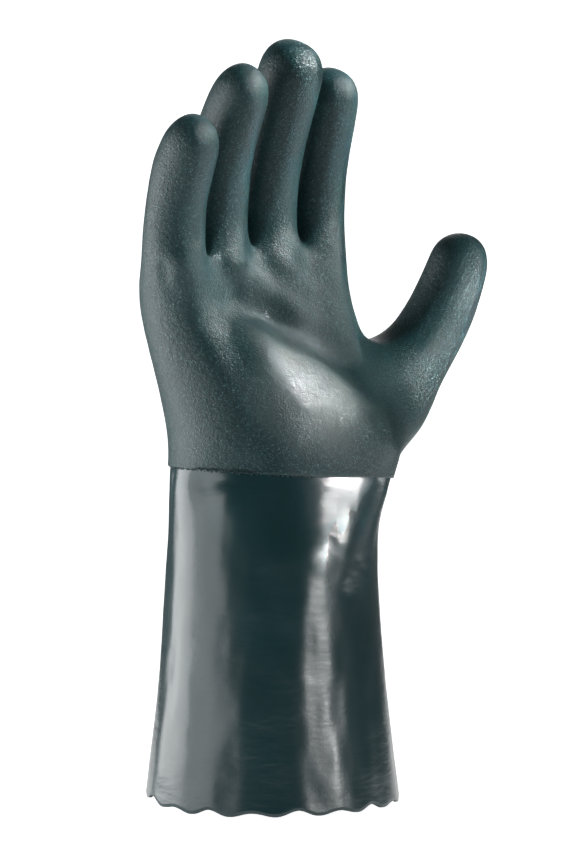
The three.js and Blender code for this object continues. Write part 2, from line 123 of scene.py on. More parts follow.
# The fingers. across, back and up place the root, as shares of the palm's width, depth and
# length. length, wide and deep are against the sizes above, and taper is what is left of them at
# the tip. curl is the lean to the palm at each of BEND_PLACES and lean the one to the thumb.
BEND_PLACES = [0, 0.42, 0.74, 1]
Finger = namedtuple("Finger", "across back up length wide deep taper curl lean")
FINGERS = [
    Finger(-0.375, -0.22, -0.05, 0.72, 1.0, 0.95, 0.8, [4, 16, 36, 46], [-2, -3, -1, 0]),
    Finger(-0.13, -0.03, 0.01, 0.925, 1.0, 1.03, 0.8, [4, 15, 38, 52], [-1, -3, -2, -1]),
    Finger(0.127, 0.05, 0.04, 1.0, 1.03, 1.03, 1.0, [0, 20, 24, 34], [-1, -1, -1, -1]),
    Finger(0.382, 0.05, 0.05, 0.861, 0.985, 0.96, 0.92, [-4, 14, 18, 36], [-1, -1, -1, -1]),
]
THUMB_TAPER, THUMB_CURL, THUMB_LEAN = 0.88, [12, 16, 18, 16], [56, 26, 8, -3]
TAPER_FROM = 0.6  # a digit tapers over the rest of its length

# Rings of a digit: up its shaft as a share of the length less half the width, and down from its
# end as a share of half the width. size is against the full section.
SHAFT_RINGS = [(0.15, 1.0), (0.35, 0.97), (0.55, 0.95), (0.75, 0.97), (0.95, 1.01)]
THUMB_RINGS = [(0.26, 1.16), (0.5, 1.06), (0.72, 1.02), (0.94, 0.98)]
TIP_RINGS = [(0.67, 0.97), (0.15, 0.69)]
TIP_OVER = 0.17  # the cage's last point lies this far past the tip, in halves of the width
THUMB_ROW = 1  # the thumb grows from this row of the palm to the second one above
BEND_STEPS = 100

# Columns of the cage run over the palm from the little finger to the thumb, over the thumb's
# edge, back over the back of the hand, and over the little finger's edge.
FRONT_COLUMNS = 2 * len(FINGERS) + 1
CAGE_COLUMNS = 2 * FRONT_COLUMNS + 2
THUMB_EDGE = FRONT_COLUMNS
LITTLE_EDGE = CAGE_COLUMNS - 1
RING_ANGLES = np.radians([-135, -90, -45, 0, 45, 90, 135, 180])
SKIN_LEVELS = 3

CUFF_COLUMNS = 240
CUFF_ROWS = 100


def mix(a, b, share):
    return a + (b - a) * share


def cage_scale(count):
    """A ring of this many control points subdivides to an oval this much smaller."""
    return 6 / (4 + 2 * math.cos(2 * math.pi / count))


ROUND_CAGE = cage_scale(CAGE_COLUMNS)
DIGIT_CAGE = cage_scale(len(RING_ANGLES))


# The trunk: cuff and palm


def trunk_table():
    """Height, right, back, half width, half depth and reach to the thumb, from the hem up."""
    cuff = [
        (s.up * CUFF_LENGTH, 0, 0, mix(WRIST_WIDTH, MOUTH_WIDTH, s.open) / 2,
         mix(WRIST_DEPTH, MOUTH_DEPTH, s.open) / 2, s.thumb * THUMB_WIDTH)
        for s in CUFF_SECTIONS
    ]
    palm = [
        (CUFF_LENGTH + s.up * PALM_LENGTH, s.right * PALM_WIDTH, s.back * PALM_DEPTH,
         mix(WRIST_WIDTH, PALM_WIDTH, s.wide) / 2, mix(WRIST_DEPTH, PALM_DEPTH, s.deep) / 2,
         s.thumb * THUMB_WIDTH)
        for s in PALM_SECTIONS
    ]
    return np.array(cuff + palm)


TRUNK = trunk_table()


def trunk_at(height):
    """The trunk's section at one or more heights, on a smooth curve through the table."""
    heights, values = TRUNK[:, 0], TRUNK[:, 1:]
    rise = np.diff(heights)
    slopes = np.empty_like(values)
    slopes[0] = (values[1] - values[0]) / rise[0]
    slopes[-1] = (values[-1] - values[-2]) / rise[-1]
    slopes[1:-1] = (values[2:] - values[:-2]) / (heights[2:] - heights[:-2])[:, None]
    height = np.asarray(height, float)
    i = np.clip(np.searchsorted(heights, height) - 1, 0, len(heights) - 2)
    span = rise[i][..., None]
    t = ((height - heights[i]) / rise[i])[..., None]
    return (
        (2 * t**3 - 3 * t**2 + 1) * values[i]
        + (t**3 - 2 * t**2 + t) * span * slopes[i]
        + (3 * t**2 - 2 * t**3) * values[i + 1]
        + (t**3 - t**2) * span * slopes[i + 1]
    )


def on_circle(angle):
    return np.stack([np.cos(angle), np.sin(angle)], axis=-1)


def trunk_point(height, shape, inset=0.0):
    """The trunk's point for a shape given against its half width and half depth."""
    section = trunk_at(height)
    right, back, half_width, half_depth, reach = np.moveaxis(section, -1, 0)
    normal = np.stack([shape[..., 0] / half_width, shape[..., 1] / half_depth], axis=-1)
    normal /= np.linalg.norm(normal, axis=-1, keepdims=True)
    reach = reach * np.maximum(0, shape[..., 0]) ** THUMB_POWER
    x = right + half_width * shape[..., 0] + reach * math.cos(THUMB_TURN) - inset * normal[..., 0]
    y = back + half_depth * shape[..., 1] - reach * math.sin(THUMB_TURN) - inset * normal[..., 1]
    return np.stack([x, y, np.broadcast_to(height, x.shape)], axis=-1)


def dip_edge(angle):
    """Height of the sand dip's edge round the wrist."""
    return CUFF_LENGTH - DIP_SLANT * np.cos(angle + DIP_TURN)


def hem_height(angle):
    """Height of the cut hem's low points round the mouth."""
    off = (angle - HEM_LIFT_AT + math.pi) % (2 * math.pi) - math.pi
    return HEM_RISE + HEM_LIFT * np.exp(-((off / HEM_LIFT_WIDE) ** 2))


# The cage of the hand


def behind(column):
    """The column of the back of the hand that lies behind one of the palm, or the other way."""
    return CAGE_COLUMNS - 2 - column


def column_angle(column, side):
    step = (math.pi - 2 * side) / (FRONT_COLUMNS - 1)
    if column == THUMB_EDGE:
        return 0.0
    if column == LITTLE_EDGE:
        return math.pi
    if column < FRONT_COLUMNS:
        return -math.pi + side + column * step
    return math.pi - side - behind(column) * step


def knuckle_shape(column):
    """The knuckle row's shape: bulged at each finger, pulled in between two."""
    front, sign = (column, -1) if column < FRONT_COLUMNS else (behind(column), 1)
    middles = [2 * finger.across for finger in FINGERS]
    half_finger = FINGER_WIDTH / PALM_WIDTH
    corner = half_finger * math.sqrt(0.5) * DIGIT_CAGE
    if column == THUMB_EDGE:
        return np.array([middles[-1] + half_finger, 0])
    if column == LITTLE_EDGE:
        return np.array([middles[0] - half_finger, 0])
    if front == 0:
        return np.array([middles[0] - corner, sign * EDGE_DEPTH])
    if front == FRONT_COLUMNS - 1:
        return np.array([middles[-1] + corner, sign * EDGE_DEPTH])
    if front % 2:
        return np.array([middles[(front - 1) // 2], sign])
    return np.array([(middles[front // 2 - 1] + middles[front // 2]) / 2, sign * WEB_DEPTH])


def centre_line(root, length, curl, lean):
    """A digit's centre line: gives the point and the direction at a share of the length."""

    def direction(share):
        c, l = (math.radians(np.interp(share, BEND_PLACES, angles)) for angles in (curl, lean))
        return np.array([math.sin(l), -math.sin(c) * math.cos(l), math.cos(c) * math.cos(l)])

    places = [np.array(root, float)]
    for step in range(BEND_STEPS):
        places.append(places[-1] + direction((step + 0.5) / BEND_STEPS) * length / BEND_STEPS)

    def at(share):
        step = min(BEND_STEPS, round(share * BEND_STEPS))
        heading = direction(min(share, 1))
        return places[step] + heading * (share - step / BEND_STEPS) * length, heading

    return at


def digit_ring(place, heading, half_width, half_depth):
    right = np.cross([0, 1, 0], heading)
    right /= np.linalg.norm(right)
    back = np.cross(heading, right)
    return [
        place + right * half_width * math.cos(angle) + back * half_depth * math.sin(angle)
        for angle in RING_ANGLES
    ]


def hand_cage():
    """Control points of the hand, and faces that list them anticlockwise from outside."""
    points, faces = [], []

    def add(point):
        points.append(np.array(point, float))
        return len(points) - 1

    def row(section, lift):
        side = math.radians(section.side)
        made = []
        for column in range(CAGE_COLUMNS):
            angle = column_angle(column, side)
            shape = mix(on_circle(angle) * ROUND_CAGE, knuckle_shape(column), section.knuckled)
            made.append(add(trunk_point(lift(angle), shape)))
        return made

    first, *others = PALM_SECTIONS
    lip = row(first, dip_edge)
    rows = [row(first, lambda angle: WRIST_HEIGHT)]
    for section in others:
        rows.append(row(section, lambda angle, up=section.up: CUFF_LENGTH + up * PALM_LENGTH))

    # Each root stands at its finger's height and depth, and a web half way between its two.
    top = rows[-1]

    def shift(column, finger, share):
        back, up = finger.back * PALM_DEPTH, finger.up * PALM_LENGTH
        points[top[column]] += [0, share * back, share * up]

    for number, finger in enumerate(FINGERS):
        for front in (2 * number, 2 * number + 1, 2 * number + 2):
            share = 1 if front % 2 or front in (0, FRONT_COLUMNS - 1) else 0.5
            shift(front, finger, share)
            shift(behind(front), finger, share)
    shift(LITTLE_EDGE, FINGERS[0], 1)
    shift(THUMB_EDGE, FINGERS[-1], 1)

    # The lip and the palm, without the opening that the thumb grows from.
    thumb_columns = (THUMB_EDGE - 1, THUMB_EDGE)
    for level, (lower, upper) in enumerate(zip([lip] + rows, rows), start=-1):
        for column in range(CAGE_COLUMNS):
            beside = (column + 1) % CAGE_COLUMNS
            if not (THUMB_ROW <= level < THUMB_ROW + 2 and column in thumb_columns):
                faces.append([lower[column], lower[beside], upper[beside], upper[column]])

    def grow(base, shaft, line, taper, length, half_width, half_depth):
        """A digit on a ring of eight points of the palm."""
        below = base
        rings = [(up * (length - half_width) / length, size) for up, size in shaft]
        rings += [(1 - down * half_width / length, size) for down, size in TIP_RINGS]
        for share, size in rings:
            left = mix(1, taper, max(0, (share - TAPER_FROM) / (1 - TAPER_FROM)))
            scale = size * left * DIGIT_CAGE
            ring = digit_ring(*line(share), half_width * scale, half_depth * scale)
            above = [add(point) for point in ring]
            for i, corner in enumerate(above):
                beside = (i + 1) % len(above)
                faces.append([below[i], below[beside], above[beside], corner])
            below = above
        tip = add(line(1 + TIP_OVER * half_width / length)[0])
        for i in range(0, len(below), 2):
            faces.append([below[i], below[i + 1], below[(i + 2) % len(below)], tip])

    webs = [
        add((points[top[2 * n]] + points[top[behind(2 * n)]]) / 2) for n in range(1, len(FINGERS))
    ]
    root_right, root_back = trunk_at(ROOT_HEIGHT)[:2]
    for number, finger in enumerate(FINGERS):
        left = webs[number - 1] if number else top[LITTLE_EDGE]
        right = webs[number] if number < len(webs) else top[THUMB_EDGE]
        front = [2 * number, 2 * number + 1, 2 * number + 2]
        base = [top[c] for c in front] + [right] + [top[behind(c)] for c in front[::-1]] + [left]
        root = [
            root_right + finger.across * PALM_WIDTH,
            root_back + finger.back * PALM_DEPTH,
            ROOT_HEIGHT + finger.up * PALM_LENGTH,
        ]
        length = finger.length * FINGER_LENGTH
        line = centre_line(root, length, finger.curl, finger.lean)
        half_width, half_depth = finger.wide * FINGER_WIDTH / 2, finger.deep * FINGER_DEPTH / 2
        grow(base, SHAFT_RINGS, line, finger.taper, length, half_width, half_depth)

    low, middle, high = rows[THUMB_ROW:THUMB_ROW + 3]
    palm_side, back_side = THUMB_EDGE - 1, THUMB_EDGE + 1
    base = [
        high[palm_side], middle[palm_side], low[palm_side], low[THUMB_EDGE],
        low[back_side], middle[back_side], high[back_side], high[THUMB_EDGE],
    ]
    root = np.mean([points[i] for i in base], axis=0)
    line = centre_line(root, THUMB_LENGTH, THUMB_CURL, THUMB_LEAN)
    grow(base, THUMB_RINGS, line, THUMB_TAPER, THUMB_LENGTH, THUMB_WIDTH / 2, THUMB_DEPTH / 2)
    return points, faces


# Mesh helpers


def new_object(name, points, faces, edges=()):
    mesh = bpy.data.meshes.new(name)
    faces = [tuple(map(int, face)) for face in faces]
    mesh.from_pydata([tuple(point) for point in points], list(edges), faces)
    made = bpy.data.objects.new(name, mesh)
    bpy.context.scene.collection.objects.link(made)
    return made


def settle(piece):
    """Turns a piece's modifiers into plain mesh."""
    seen = piece.evaluated_get(bpy.context.evaluated_depsgraph_get())
    mesh = bpy.data.meshes.new_from_object(seen)
    piece.modifiers.clear()
    piece.data = mesh
    return piece


def places_of(mesh):
    flat = np.empty(3 * len(mesh.vertices))
    mesh.vertices.foreach_get("co", flat)
    return flat.reshape(-1, 3)


def normals_of(mesh):
    flat = np.empty(3 * len(mesh.vertices))
    mesh.vertex_normals.foreach_get("vector", flat)
    return flat.reshape(-1, 3)


def set_numbers(mesh, name, values):
    """Keeps a number for each point under a name that a geometry tree can read."""
    field = mesh.attributes.new(name, "FLOAT", "POINT")
    field.data.foreach_set("value", np.array(values, np.float32))


def move_to(mesh, points):
    mesh.vertices.foreach_set("co", points.ravel())
    mesh.update()


def faces_of(mesh):
    return [list(polygon.vertices) for polygon in mesh.polygons]


def rim_of(faces):
    """Edges that have one face only, each in that face's own direction."""
    edges = {(a, b) for face in faces for a, b in zip(face, face[1:] + face[:1])}
    return [(a, b) for a, b in edges if (b, a) not in edges]


def smooth_step(value, low, high):
    t = np.clip((value - low) / (high - low), 0, 1)
    return t * t * (3 - 2 * t)


def along_path(points, path):
    """Distance of each point from a path of straight stretches, and how far along it lies."""
    path = np.array(path, float)
    lengths = np.linalg.norm(np.diff(path, axis=0), axis=1)
    nearest, place = np.full(len(points), np.inf), np.zeros(len(points))
    for i, length in enumerate(lengths):
        along = (path[i + 1] - path[i]) / length
        reach = np.clip((points - path[i]) @ along, 0, length)
        away = np.linalg.norm(points - path[i] - reach[:, None] * along, axis=1)
        place = np.where(away < nearest, (lengths[:i].sum() + reach) / lengths.sum(), place)
        nearest = np.minimum(nearest, away)
    return nearest, place


# The worn and wrinkled place on the heel of the thumb: its middle, how far its wrinkles reach, and
# how far from the middle its gloss is whole and where that ends
THUMB_HEEL = (-0.003, -0.034, 0.192)
HEEL_WIDE = 0.022
WORN_WHOLE, WORN_GONE = 0.014, 0.038

# Folds of the skin. path runs over the surface, wide is how far a fold falls away to each side,
# high is negative for a furrow, and fade is the share of the height that is left at its end.
Fold = namedtuple("Fold", "path wide high fade")
FOLDS = [
    # furrows that run on from the webs, and the ridges between them
    Fold([(-0.038, -0.014, 0.245), (-0.031, -0.015, 0.237), (-0.024, -0.017, 0.228)],
         0.0045, -0.0016, 0.5),
    Fold([(-0.031, -0.015, 0.246), (-0.025, -0.016, 0.238), (-0.016, -0.015, 0.233)],
         0.004, 0.0008, 0.5),
    Fold([(-0.019, -0.012, 0.251), (-0.007, -0.014, 0.241), (0.005, -0.017, 0.233)],
         0.004, -0.0014, 0.4),
    Fold([(-0.016, -0.015, 0.24), (-0.008, -0.017, 0.231), (0.007, -0.02, 0.222)],
         0.0048, 0.0017, 0.6),
    Fold([(-0.007, -0.011, 0.252), (0.003, -0.014, 0.243), (0.016, -0.014, 0.235),
          (0.024, -0.016, 0.227)], 0.0044, 0.0012, 0.4),
    Fold([(0.009, -0.01, 0.254), (0.018, -0.01, 0.249), (0.025, -0.013, 0.242)],
         0.0042, 0.0009, 0.4),
    # furrow across the palm, the mound of the thumb's heel below it, and the valley by the thumb
    Fold([(-0.029, -0.016, 0.231), (-0.013, -0.017, 0.224), (-0.002, -0.02, 0.218),
          (0.012, -0.021, 0.211), (0.028, -0.022, 0.202)], 0.0082, -0.005, 1.0),
    Fold([(-0.023, -0.028, 0.204), (-0.016, -0.031, 0.198), (-0.002, -0.036, 0.188),
          (0.014, -0.037, 0.181), (0.026, -0.035, 0.177)], 0.0175, 0.0048, 0.9),
    Fold([(0.043, -0.015, 0.212), (0.041, -0.02, 0.202), (0.042, -0.022, 0.194),
          (0.041, -0.028, 0.184)], 0.0065, -0.0042, 0.3),
    # crease and swelling at the little finger's root
    Fold([(-0.067, -0.012, 0.245), (-0.065, -0.011, 0.238), (-0.062, -0.013, 0.233)],
         0.0032, -0.0012, 0.6),
    Fold([(-0.063, -0.013, 0.238), (-0.062, -0.018, 0.247), (-0.053, -0.019, 0.253)],
         0.0045, 0.0009, 0.6),
    # broad fold that runs from below the thumb down the cuff, and the one beside it to the hem
    Fold([(0.033, -0.033, 0.162), (0.03, -0.035, 0.148), (0.0193, -0.0405, 0.13),
          (0.0109, -0.0426, 0.1166), (0.0036, -0.0433, 0.1005)], 0.017, 0.008, 0.0),
    Fold([(-0.0173, -0.0377, 0.112), (-0.0196, -0.0378, 0.0936), (-0.0225, -0.0387, 0.066),
          (-0.0256, -0.0398, 0.034), (-0.0278, -0.0413, 0.0)], 0.022, 0.0042, 1.0),
    # slanting hollow under the dip's edge, the softer one below it, and a crease on the edge
    Fold([(-0.047, -0.013, 0.149), (-0.043, -0.021, 0.152), (-0.036, -0.03, 0.155)],
         0.0078, -0.0022, 0.8),
    Fold([(-0.047, -0.016, 0.135), (-0.039, -0.027, 0.117)], 0.009, -0.0009, 0.6),
    Fold([(-0.048, 0.011, 0.152), (-0.0475, 0.012, 0.13), (-0.0485, 0.012, 0.1)],
         0.0022, -0.0007, 0.2),
]


def folded(points, normals):
    """The points moved along their normals by the folds."""
    height = np.zeros(len(points))
    for fold in FOLDS:
        away, place = along_path(points, fold.path)
        height += fold.high * mix(1, fold.fade, place) * np.exp(-((away / fold.wide) ** 2))
    return points + normals * height[:, None]


# Node trees


class Wire:
    """An output of a node. Arithmetic on it adds Math nodes to its tree."""

    def __init__(self, tree, socket):
        self.tree, self.socket = tree, socket

    def maths(self, operation, *values):
        settings, inputs = {"operation": operation}, dict(enumerate(values))
        return self.tree.node("ShaderNodeMath", settings, inputs)[0]

    def cosine(self):
        return self.maths("COSINE", self)

    def __add__(self, other):
        return self.maths("ADD", self, other)

    def __sub__(self, other):
        return self.maths("SUBTRACT", self, other)

    def __rsub__(self, other):
        return self.maths("SUBTRACT", other, self)

    def __mul__(self, other):
        return self.maths("MULTIPLY", self, other)

    def __truediv__(self, other):
        return self.maths("DIVIDE", self, other)

    def __rtruediv__(self, other):
        return self.maths("DIVIDE", other, self)

    __radd__, __rmul__ = __add__, __mul__


def find_socket(sockets, name):
    """A node's socket by its number, or by its name among those in use."""
    if isinstance(name, int):
        return sockets[name]
    return next(socket for socket in sockets if socket.enabled and socket.name == name)


class Tree:
    """A node tree whose nodes are made one at a time, with their settings and inputs."""

    def __init__(self, tree):
        self.tree = tree

    def node(self, kind, settings=None, inputs=None):
        made = self.tree.nodes.new(kind)
        for name, value in (settings or {}).items():
            setattr(made, name, value)
        for name, value in (inputs or {}).items():
            socket = find_socket(made.inputs, name)
            if isinstance(value, Wire):
                self.tree.links.new(value.socket, socket)
            else:
                socket.default_value = value
        return Outputs(self, made)


class Outputs:
    """The outputs of a node, by name or number."""

    def __init__(self, tree, made):
        self.tree, self.made = tree, made

    def __getitem__(self, name):
        return Wire(self.tree, find_socket(self.made.outputs, name))


def noise(tree, place, scale, detail=2.0, roughness=0.5, distortion=0.0):
    """Noise from 0 to 1. scale is how many of its lumps lie along a metre."""
    return tree.node("ShaderNodeTexNoise", inputs={
        "Vector": place, "Scale": scale, "Detail": detail, "Roughness": roughness,
        "Distortion": distortion,
    })[0]


# Geometry trees


def shape_tree(name, inputs):
    """A geometry tree with named number inputs. Returns it, its wires by name and its group."""
    group = bpy.data.node_groups.new(name, "GeometryNodeTree")
    face = group.interface
    face.new_socket("Geometry", in_out="INPUT", socket_type="NodeSocketGeometry")
    for label in inputs:
        kind = "NodeSocketMaterial" if label == "Material" else "NodeSocketFloat"
        face.new_socket(label, in_out="INPUT", socket_type=kind)
    face.new_socket("Geometry", in_out="OUTPUT", socket_type="NodeSocketGeometry")
    tree = Tree(group)
    entry = tree.node("NodeGroupInput")
    return tree, {label: entry[label] for label in ["Geometry", *inputs]}, group


def finish_shape(tree, geometry, material):
    whole = tree.node("GeometryNodeRealizeInstances", inputs={"Geometry": geometry})["Geometry"]
    inputs = {"Geometry": whole, "Material": material}
    painted = tree.node("GeometryNodeSetMaterial", inputs=inputs)["Geometry"]
    tree.node("NodeGroupOutput", inputs={"Geometry": painted})


def apply_shape(piece, group, values):
    modifier = piece.modifiers.new(group.name, "NODES")
    modifier.node_group = group
    for item in group.interface.items_tree:
        if item.in_out == "INPUT" and item.name in values:
            modifier[item.identifier] = values[item.name]
    return settle(piece)


def number_field(tree, name):
    """The numbers that set_numbers kept under a name."""
    settings = {"data_type": "FLOAT"}
    return tree.node("GeometryNodeInputNamedAttribute", settings, {"Name": name})["Attribute"]


def shifted(tree, geometry, offset):
    inputs = {"Geometry": geometry, "Offset": offset}
    return tree.node("GeometryNodeSetPosition", inputs=inputs)["Geometry"]


def raised(tree, geometry, height):
    offset = tree.node("ShaderNodeCombineXYZ", inputs={"Z": height})["Vector"]
    return shifted(tree, geometry, offset)


def along_normal(tree, geometry, height):
    inputs = {"Vector": tree.node("GeometryNodeInputNormal")["Normal"], "Scale": height}
    offset = tree.node("ShaderNodeVectorMath", {"operation": "SCALE"}, inputs)["Vector"]
    return shifted(tree, geometry, offset)


def random_value(tree, kind, low, high, seed):
    inputs = {"Min": low, "Max": high, "Seed": seed}
    return tree.node("FunctionNodeRandomValue", {"data_type": kind}, inputs)["Value"]


# Uneven skin. size is that of its lumps, stretch how far they are drawn out along the axes,
# detail how ragged they are, and high how far they rise and fall.
Lumps = namedtuple("Lumps", "size stretch detail high")
CUFF_SWELL = Lumps(0.03, (1, 1, 2.2), 2.0, 0.0012)
CUFF_RIPPLE = Lumps(0.006, (2.6, 2.6, 1), 1.0, 0.00006)
DIP_SWELL = Lumps(0.022, (1, 1, 1), 2.0, 0.0003)
DIP_LUMPS = Lumps(0.006, (1, 1, 1), 2.0, 0.00008)
DIP_WRINKLES = Lumps(0.0044, (1.4, 1, 0.8), 1.0, 0.00036)


def uneven(tree, lumps):
    """A height from -1 to 1 over the skin, in lumps."""
    inputs = {0: tree.node("GeometryNodeInputPosition")["Position"], 1: lumps.stretch}
    place = tree.node("ShaderNodeVectorMath", {"operation": "DIVIDE"}, inputs)["Vector"]
    return noise(tree, place, 1 / lumps.size, lumps.detail) * 2 - 1


def hem_and_swell():
    """Cuts the cuff's hem in waves, and lets its skin swell and ripple a little."""
    tree, given, group = shape_tree(
        "hem_and_swell", ["Waves", "Wave height", "Wave turn", "Swell", "Ripple", "Material"]
    )
    around, up = number_field(tree, "around"), number_field(tree, "up")
    turned = (around - given["Wave turn"]) * given["Waves"]
    wave = (turned.cosine() + 1) / 2
    in_turn = SCALLOP_SHARE + SCALLOP_SWING * (turned / 2).cosine()
    cut = raised(tree, given["Geometry"], given["Wave height"] * wave * in_turn * (1 - up))
    loose = number_field(tree, "loose")
    swell = uneven(tree, CUFF_SWELL) * given["Swell"] * loose
    ripple = uneven(tree, CUFF_RIPPLE) * given["Ripple"] * loose
    finish_shape(tree, along_normal(tree, cut, swell + ripple), given["Material"])
    return group


def uneven_dip():
    """Gives the sand dip its slightly lumpy skin, with wrinkles on the heel of the thumb."""
    tree, given, group = shape_tree("uneven_dip", ["Swell", "Lumps", "Wrinkles", "Material"])
    loose = number_field(tree, "loose")
    swell = uneven(tree, DIP_SWELL) * given["Swell"] * loose
    lumps = uneven(tree, DIP_LUMPS) * given["Lumps"] * loose
    wrinkles = uneven(tree, DIP_WRINKLES) * given["Wrinkles"] * number_field(tree, "heel")
    skin = along_normal(tree, given["Geometry"], swell + lumps + wrinkles)
    finish_shape(tree, skin, given["Material"])
    return group


# Grains on the dip's edge: their spacing along it, how far they stray up and down, their radius,
# the least and most of that along each axis, and how far they are turned at most, in radians
GRAIN_SPACING, GRAIN_SPREAD, GRAIN_RADIUS = 0.00035, 0.0007, 0.0005
GRAIN_LEAST, GRAIN_MOST = (0.4, 0.4, 0.4), (1.2, 1.2, 1.0)
GRAIN_TURN = 6.28


def edge_grains():
    """Scatters grains along a line, for the sand dip's ragged edge."""
    tree, given, group = shape_tree("edge_grains", ["Spacing", "Spread", "Grain", "Material"])
    line = tree.node("GeometryNodeMeshToCurve", inputs={"Mesh": given["Geometry"]})["Curve"]
    inputs = {"Curve": line, "Length": given["Spacing"]}
    spaced = tree.node("GeometryNodeResampleCurve", {"mode": "LENGTH"}, inputs)["Curve"]
    points = tree.node("GeometryNodeCurveToPoints", {"mode": "EVALUATED"}, {"Curve": spaced})
    scatter = random_value(tree, "FLOAT", given["Spread"] * -1, given["Spread"], seed=3)
    places = raised(tree, points["Points"], scatter)
    inputs = {"Radius": given["Grain"], "Subdivisions": 1}
    grain = tree.node("GeometryNodeMeshIcoSphere", inputs=inputs)["Mesh"]
    size = random_value(tree, "FLOAT_VECTOR", GRAIN_LEAST, GRAIN_MOST, seed=5)
    turn = random_value(tree, "FLOAT_VECTOR", (0, 0, 0), (GRAIN_TURN,) * 3, seed=7)
    spun = tree.node("FunctionNodeEulerToRotation", inputs={"Euler": turn})["Rotation"]
    inputs = {"Points": places, "Instance": grain, "Rotation": spun, "Scale": size}
    grains = tree.node("GeometryNodeInstanceOnPoints", inputs=inputs)["Instances"]
    finish_shape(tree, grains, given["Material"])
    return group


# Finishes


def new_material(name):
    material = bpy.data.materials.new(name)
    material.use_nodes = True
    material.node_tree.nodes.clear()
    return material, Tree(material.node_tree)


def blend_colour(tree, share, first, second):
    inputs = {"Factor": share, "A": first, "B": second}
    return tree.node("ShaderNodeMix", {"data_type": "RGBA"}, inputs)["Result"]


def colour(red, green, blue):
    """A colour given as it looks on a screen, from 0 to 255, in linear light."""

    def linear(value):
        share = value / 255
        return share / 12.92 if share <= 0.04045 else ((share + 0.055) / 1.055) ** 2.4

    return (linear(red), linear(green), linear(blue), 1.0)


def between(tree, value, low, high, to_low=0.0, to_high=1.0):
    """Turns a stretch of a value into another stretch, with soft ends."""
    settings = {"interpolation_type": "SMOOTHSTEP"}
    inputs = {
        "Value": value, "From Min": low, "From Max": high, "To Min": to_low, "To Max": to_high,
    }
    return tree.node("ShaderNodeMapRange", settings, inputs)["Result"]


def bump(tree, height, relief, under=None):
    """Normals for a relief's distance and strength, laid over those of another."""
    distance, strength = relief
    inputs = {"Height": height, "Distance": distance, "Strength": strength}
    if under is not None:
        inputs["Normal"] = under
    return tree.node("ShaderNodeBump", inputs=inputs)["Normal"]


def skin_shader(tree, inputs):
    return tree.node("ShaderNodeBsdfPrincipled", inputs=inputs)["BSDF"]


def finish_material(tree, shader):
    tree.node("ShaderNodeOutputMaterial", inputs={"Surface": shader})


SAND_DARK, SAND_LIGHT = colour(3, 34, 37), colour(6, 42, 45)
SAND_CLUMP, SAND_FLECK = colour(14, 48, 51), colour(84, 116, 120)
SMOOTH_DARK, SMOOTH_LIGHT = colour(3, 36, 40), colour(7, 44, 48)
INNER_DARK, INNER_LIGHT = colour(10, 32, 34), colour(18, 42, 44)
PAPER_DARK, PAPER_LIGHT = (0.82, 0.82, 0.82, 1), (0.84, 0.84, 0.84, 1)
WHITE = (1, 1, 1, 1)

# How many lumps of each pattern lie along a metre
SAND_GRAINS, SAND_CLUMPS, SAND_WRINKLES, SAND_CLOUDS = 1500, 620, 210, 26
SMOOTH_GRAINS, SMOOTH_RIPPLES, SMOOTH_DENTS, SMOOTH_CLOUDS = 900, 120, 42, 22
INNER_GRAINS, PAPER_CLOUDS = 700, 3.0
RIPPLE_SQUEEZE = 3.2  # the ripples lie this much closer up the cuff than they do round it

# The stretch of each pattern's noise that changes a colour or a roughness
MOST_NOISE, SMOOTH_NOISE = (0.3, 0.7), (0.15, 0.85)
CLUMP_NOISE, FLECK_NOISE, ROUGH_NOISE = (0.4, 0.7), (0.58, 0.72), (0.3, 0.75)

# Height and strength of the relief
SAND_WRINKLED, SAND_CLUMPED, SAND_GRAINED = (0.0004, 0.6), (0.0004, 0.8), (0.0004, 1.0)
WORN_WRINKLED, WORN_GRAINED = (0.0008, 0.8), (0.0004, 0.8)
SMOOTH_DENTED, SMOOTH_RIPPLED, SMOOTH_GRAINED = (0.0012, 0.55), (0.00035, 0.28), (0.00004, 0.4)
INNER_GRAINED = (0.0003, 0.6)

# Roughness between the grains and on them
SAND_ROUGH, WORN_ROUGH = (0.44, 0.26), (0.46, 0.32)
FLECK_STRENGTH = 0.75  # how far a fleck's colour covers the sand's


